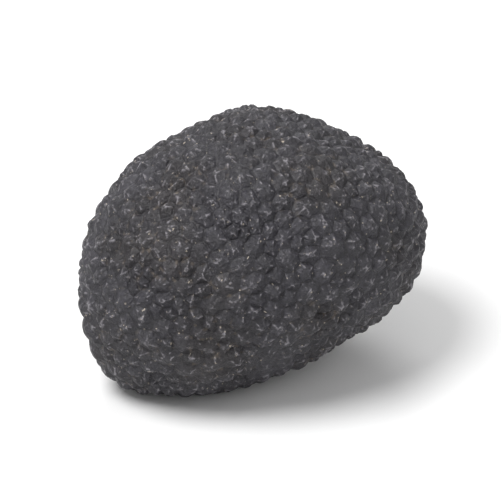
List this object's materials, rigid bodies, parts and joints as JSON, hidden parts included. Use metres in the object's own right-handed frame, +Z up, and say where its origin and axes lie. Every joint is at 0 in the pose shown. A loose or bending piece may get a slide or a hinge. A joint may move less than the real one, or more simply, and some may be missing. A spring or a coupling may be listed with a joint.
{
  "type": "summer truffle",
  "caption": "Whole summer truffle, a rounded egg-like tuber covered in low pyramid warts, lying on a small flat spot.",
  "frame": {"origin": "on the resting plane, under the middle of the truffle's bounding box", "axes": "+Z up, square to the flat resting spot; +X along the longest side, from the blunt end towards the slim end; +Y towards the back"},
  "size_m": [0.0404, 0.0318, 0.0297],
  "materials": {
    "truffle_skin": "matte"
  },
  "bodies": {
    "root": {"truffle": "truffle_skin"}
  },
  "joints": []
}
